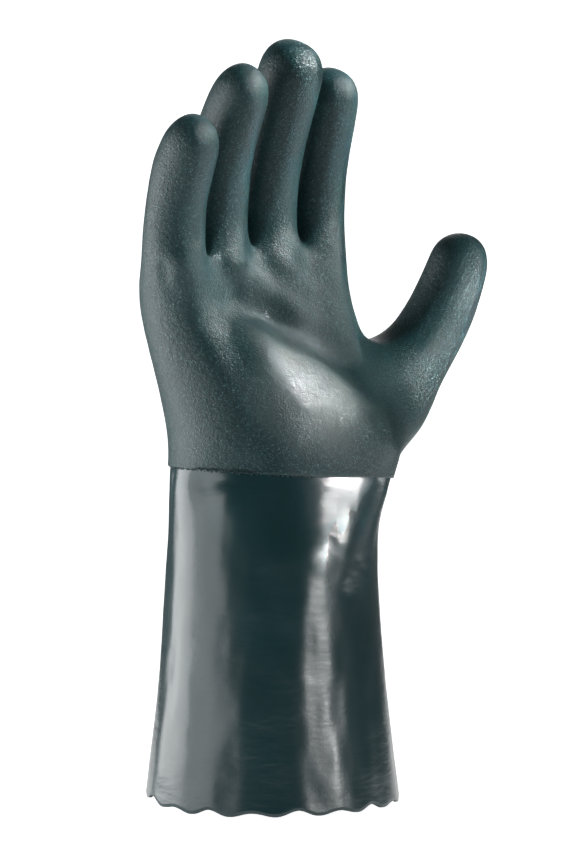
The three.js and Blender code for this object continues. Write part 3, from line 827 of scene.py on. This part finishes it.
def sand_finish():
    """Dark green PVC dipped in fine sand: matt grains with small bright flecks, worn glossier and
    wrinkled on the heel of the thumb."""
    material, tree = new_material("sand_finish")
    place = tree.node("ShaderNodeTexCoord")["Object"]
    grain = noise(tree, place, SAND_GRAINS, roughness=0.6)
    clumps = noise(tree, place, SAND_CLUMPS)
    cloud = noise(tree, place, SAND_CLOUDS, detail=3.0)
    wrinkles = noise(tree, place, SAND_WRINKLES, distortion=0.6)
    base = blend_colour(tree, between(tree, cloud, *MOST_NOISE), SAND_DARK, SAND_LIGHT)
    grained = blend_colour(tree, between(tree, clumps, *CLUMP_NOISE), base, SAND_CLUMP)
    flecks = between(tree, grain, *FLECK_NOISE) * FLECK_STRENGTH
    relief = bump(tree, wrinkles, SAND_WRINKLED)
    relief = bump(tree, clumps, SAND_CLUMPED, relief)
    sand = skin_shader(tree, {
        "Base Color": blend_colour(tree, flecks, grained, SAND_FLECK),
        "Roughness": between(tree, grain, *ROUGH_NOISE, *SAND_ROUGH),
        "Normal": bump(tree, grain, SAND_GRAINED, relief), "Specular IOR Level": 0.32,
    })
    creased = bump(tree, wrinkles, WORN_WRINKLED)
    glossier = skin_shader(tree, {
        "Base Color": base, "Roughness": between(tree, grain, *ROUGH_NOISE, *WORN_ROUGH),
        "Normal": bump(tree, grain, WORN_GRAINED, creased), "Specular IOR Level": 1.0,
    })
    inputs = {0: place, 1: THUMB_HEEL}
    from_heel = tree.node("ShaderNodeVectorMath", {"operation": "DISTANCE"}, inputs)["Value"]
    worn = between(tree, from_heel, WORN_WHOLE, WORN_GONE, 1.0, 0.0)
    inputs = {0: worn, 1: sand, 2: glossier}
    finish_material(tree, tree.node("ShaderNodeMixShader", inputs=inputs)["Shader"])
    return material


def smooth_finish():
    """Smooth glossy dark green PVC, with fine ripples across it and slight clouding."""
    material, tree = new_material("smooth_finish")
    place = tree.node("ShaderNodeTexCoord")["Object"]
    cloud = noise(tree, place, SMOOTH_CLOUDS, detail=3.0, roughness=0.55)
    base = blend_colour(tree, between(tree, cloud, *SMOOTH_NOISE), SMOOTH_DARK, SMOOTH_LIGHT)
    inputs = {"Vector": place, "Scale": (1.0, 1.0, RIPPLE_SQUEEZE)}
    across = tree.node("ShaderNodeMapping", inputs=inputs)["Vector"]
    ripples = noise(tree, across, SMOOTH_RIPPLES, roughness=0.45)
    grain = noise(tree, place, SMOOTH_GRAINS, detail=1.0, roughness=0.4)
    dents = noise(tree, place, SMOOTH_DENTS, detail=1.0, roughness=0.4)
    relief = bump(tree, dents, SMOOTH_DENTED)
    relief = bump(tree, ripples, SMOOTH_RIPPLED, relief)
    relief = bump(tree, grain, SMOOTH_GRAINED, relief)
    finish_material(tree, skin_shader(tree, {
        "Base Color": base, "Roughness": 0.26, "Normal": relief, "Specular IOR Level": 0.5,
    }))
    return material


def inner_face():
    """The unpolished inside of the dipped skin."""
    material, tree = new_material("inner_face")
    place = tree.node("ShaderNodeTexCoord")["Object"]
    grain = noise(tree, place, INNER_GRAINS)
    base = blend_colour(tree, between(tree, grain, *MOST_NOISE), INNER_DARK, INNER_LIGHT)
    relief = bump(tree, grain, INNER_GRAINED)
    finish_material(tree, skin_shader(tree, {
        "Base Color": base, "Roughness": 0.85, "Normal": relief,
    }))
    return material


def pale_paper():
    """Matt white paper for the floor and backdrop. It glows, so that it stays evenly white."""
    material, tree = new_material("pale_paper")
    place = tree.node("ShaderNodeTexCoord")["Object"]
    tone = between(tree, noise(tree, place, PAPER_CLOUDS), *MOST_NOISE)
    finish_material(tree, skin_shader(tree, {
        "Base Color": blend_colour(tree, tone, PAPER_DARK, PAPER_LIGHT), "Roughness": 0.9,
        "Specular IOR Level": 0.2, "Emission Color": WHITE, "Emission Strength": 1.0,
    }))
    return material


# Pieces

WALL_CHANGE = 0.004  # the lip's wall grows to the hand's over this height


def walled(name, mesh, wall, outside, inside):
    """A closed piece from an open skin, with the given wall at each point behind it. The outside's
    finish is on the outer faces, and the inside's on the rest."""
    outer, faces = places_of(mesh), faces_of(mesh)
    inner = outer - normals_of(mesh) * wall[:, None]
    count = len(outer)
    inward = [[i + count for i in face[::-1]] for face in faces]
    edge = [[b, a, a + count, b + count] for a, b in rim_of(faces)]
    piece = new_object(name, np.vstack([outer, inner]), faces + inward + edge)
    piece.data.materials.append(outside)
    piece.data.materials.append(inside)
    for polygon in piece.data.polygons[len(faces):]:
        polygon.material_index = 1
    piece.data.shade_smooth()
    return piece


def make_hand(outside, inside):
    skin = new_object("hand_skin", *hand_cage())
    modifier = skin.modifiers.new("smooth", "SUBSURF")
    modifier.levels = modifier.render_levels = SKIN_LEVELS
    settle(skin)
    points = folded(places_of(skin.data), normals_of(skin.data))
    move_to(skin.data, points)
    loose = smooth_step(points[:, 2], WRIST_HEIGHT, WRIST_HEIGHT + LOOSE_FROM)
    set_numbers(skin.data, "loose", loose)
    away = np.linalg.norm(points - THUMB_HEEL, axis=1)
    set_numbers(skin.data, "heel", np.exp(-((away / HEEL_WIDE) ** 2)))
    apply_shape(skin, uneven_dip(), {
        "Swell": DIP_SWELL.high, "Lumps": DIP_LUMPS.high, "Wrinkles": DIP_WRINKLES.high,
        "Material": outside,
    })
    above_lip = smooth_step(places_of(skin.data)[:, 2], WRIST_HEIGHT, WRIST_HEIGHT + WALL_CHANGE)
    wall = mix(LIP_WALL, HAND_WALL, above_lip)
    piece = walled("sand_dipped_hand", skin.data, wall, outside, inside)
    bpy.data.objects.remove(skin)
    return piece


def make_cuff(outside, inside):
    angles = np.linspace(0, 2 * np.pi, CUFF_COLUMNS, endpoint=False)
    hem, edge, top = hem_height(angles), dip_edge(angles), WRIST_HEIGHT - SEAM_GAP
    ups = np.linspace(0, 1, CUFF_ROWS)
    rows = [mix(hem, edge, up) for up in ups]
    rows += [mix(edge, top, 0.5), np.full(CUFF_COLUMNS, top)]
    ups = [*ups, 1.0, 1.0]
    inset = LIP_WALL + SEAM_GAP
    points = np.vstack([trunk_point(row, on_circle(angles), inset) for row in rows])
    corners = np.arange(len(points)).reshape(len(rows), CUFF_COLUMNS)
    beside = np.roll(corners, -1, axis=1)
    faces = np.stack([corners[:-1], beside[:-1], beside[1:], corners[1:]], axis=-1)
    skin = new_object("cuff_skin", points, faces.reshape(-1, 4))
    points = folded(points, normals_of(skin.data))
    move_to(skin.data, points)
    set_numbers(skin.data, "around", np.tile(angles, len(rows)))
    set_numbers(skin.data, "up", np.repeat(ups, CUFF_COLUMNS))
    below = np.tile(edge, len(rows)) - points[:, 2]
    set_numbers(skin.data, "loose", smooth_step(below, 0, LOOSE_FROM))
    apply_shape(skin, hem_and_swell(), {
        "Waves": float(SCALLOP_COUNT), "Wave height": SCALLOP_HEIGHT, "Wave turn": SCALLOP_TURN,
        "Swell": CUFF_SWELL.high, "Ripple": CUFF_RIPPLE.high, "Material": outside,
    })
    wall = np.full(len(skin.data.vertices), CUFF_WALL)
    piece = walled("smooth_cuff", skin.data, wall, outside, inside)
    bpy.data.objects.remove(skin)
    return piece


def make_edge_grains(finish):
    angles = np.linspace(0, 2 * np.pi, CAGE_COLUMNS * 2**SKIN_LEVELS, endpoint=False)
    ring = trunk_point(dip_edge(angles), on_circle(angles), LIP_WALL)
    edges = [(i, (i + 1) % len(ring)) for i in range(len(ring))]
    piece = new_object("edge_grains", ring, [], edges)
    apply_shape(piece, edge_grains(), {
        "Spacing": GRAIN_SPACING, "Spread": GRAIN_SPREAD, "Grain": GRAIN_RADIUS,
        "Material": finish,
    })
    piece.data.shade_smooth()
    return piece


# Stage, light and camera

AIM = Vector((0.0055, -0.0040, 0.1717))
VIEW_TURN = math.radians(-36)  # the camera stands this far round from the palm side
VIEW_RISE = math.radians(1.2)
VIEW_DISTANCE = 1.5
LENS = 136.8
SENSOR = 36.0

FLOOR_FRONT = 1.0  # the floor reaches this far in front of the glove
FLOOR_GAP = 0.0005  # and lies this far below the hem
BACKDROP_AWAY = 2.4
BACKDROP_HEIGHT = 2.4
BACKDROP_HALF = 0.36  # half its width
SWEEP_RADIUS = 0.8
SWEEP_POINTS = 17
WORLD_STRENGTH = 0.13

# Softboxes, and narrow beams for the glare on single places. turn is how many degrees a light
# stands round to the right of the camera, away and up are its distance from the glove's middle and
# its height, and aim is the point that it faces. wide and high are its size, power is in watts,
# and spread is the width of its beam in degrees.
Light = namedtuple("Light", "name turn away up aim wide high power spread")
LIGHTS = [
    Light("left_softbox", -101, 1.0, 0.05, (0, 0, 0.15), 0.8, 1.0, 16.5, 180),
    Light("left_fill", -60, 1.0, 0.05, (0, 0, 0.15), 0.6, 1.0, 6.5, 180),
    Light("right_strip", 69, 1.2, 0.02, (0, 0, 0.06), 0.28, 0.34, 1.8, 180),
    Light("right_upper", 71, 1.2, 0.235, (0, 0, 0.15), 0.15, 0.18, 2.8, 180),
    Light("right_low", 108, 1.0, -0.3, (0, 0, 0.26), 0.5, 0.35, 6, 180),
    Light("top_right", 88, 0.9, 0.9, (-0.026, 0, 0.318), 0.15, 0.15, 0.27, 8),
    Light("palm_spot", 95, 0.7, 0.46, (-0.0055, -0.034, 0.193), 0.04, 0.04, 0.0145, 4.0),
    Light("wrist_beam", 68, 1.2, 0.19, (0.02, -0.037, 0.139), 0.06, 0.06, 0.0055, 3.5),
    Light("thumb_beam", 75, 1.0, 0.25, (0.085, -0.012, 0.222), 0.05, 0.05, 0.04, 6),
]


def towards(turn, rise):
    """The direction from the glove to a place round it, as the camera's turn and rise."""
    level = math.cos(rise)
    return Vector((math.sin(turn) * level, -math.cos(turn) * level, math.sin(rise)))


def stand(name, data, place, aim):
    """Puts a camera or light at a place, facing another."""
    made = bpy.data.objects.new(name, data)
    made.location = place
    made.rotation_euler = (place - aim).to_track_quat("Z", "Y").to_euler()
    bpy.context.scene.collection.objects.link(made)
    return made


def make_camera():
    data = bpy.data.cameras.new("camera")
    data.lens, data.sensor_width = LENS, SENSOR
    data.dof.use_dof = False
    place = AIM + towards(VIEW_TURN, VIEW_RISE) * VIEW_DISTANCE
    bpy.context.scene.camera = stand("camera", data, place, AIM)


def make_light(light):
    data = bpy.data.lights.new(light.name, "AREA")
    data.shape, data.size, data.size_y = "RECTANGLE", light.wide, light.high
    data.energy, data.spread = light.power, math.radians(light.spread)
    level = towards(VIEW_TURN + math.radians(light.turn), 0) * light.away
    stand(light.name, data, level + Vector((0, 0, light.up)), Vector(light.aim))


def make_backdrop(paper):
    """A floor that sweeps up into a backdrop behind the glove."""
    sweep = [
        (BACKDROP_AWAY - SWEEP_RADIUS * (1 - math.sin(a)), SWEEP_RADIUS * (1 - math.cos(a)))
        for a in np.linspace(0, math.pi / 2, SWEEP_POINTS)
    ]
    profile = [(-FLOOR_FRONT, 0)] + sweep + [(BACKDROP_AWAY, BACKDROP_HEIGHT)]
    floor_height = cad_box[0][2] - FLOOR_GAP
    away = -towards(VIEW_TURN, 0)
    side = Vector((-away.y, away.x, 0)) * BACKDROP_HALF
    points = []
    for out, up in profile:
        for edge in (-side, side):
            points.append(away * out + edge + Vector((0, 0, floor_height + up)))
    faces = [[2 * i, 2 * i + 2, 2 * i + 3, 2 * i + 1] for i in range(len(profile) - 1)]
    floor = new_object("pale_floor", points, faces)
    floor.data.materials.append(paper)
    floor.data.shade_smooth()


def make_world():
    world = bpy.data.worlds.new("studio")
    world.use_nodes = True
    background = world.node_tree.nodes["Background"].inputs
    background["Color"].default_value = WHITE
    background["Strength"].default_value = WORLD_STRENGTH
    bpy.context.scene.world = world
    bpy.context.scene.view_settings.view_transform = "Standard"


make_camera()
make_world()
make_backdrop(pale_paper())
for light in LIGHTS:
    make_light(light)

sand, smooth, inside = sand_finish(), smooth_finish(), inner_face()
hand = make_hand(sand, inside)
cuff = make_cuff(smooth, inside)
grains = make_edge_grains(sand)

for piece, node, slot in (
    (hand, "hand", "sand_finish"),
    (cuff, "cuff", "smooth_finish"),
    (grains, None, "sand_finish"),
):
    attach(piece, "root")
    if node:
        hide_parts(node)
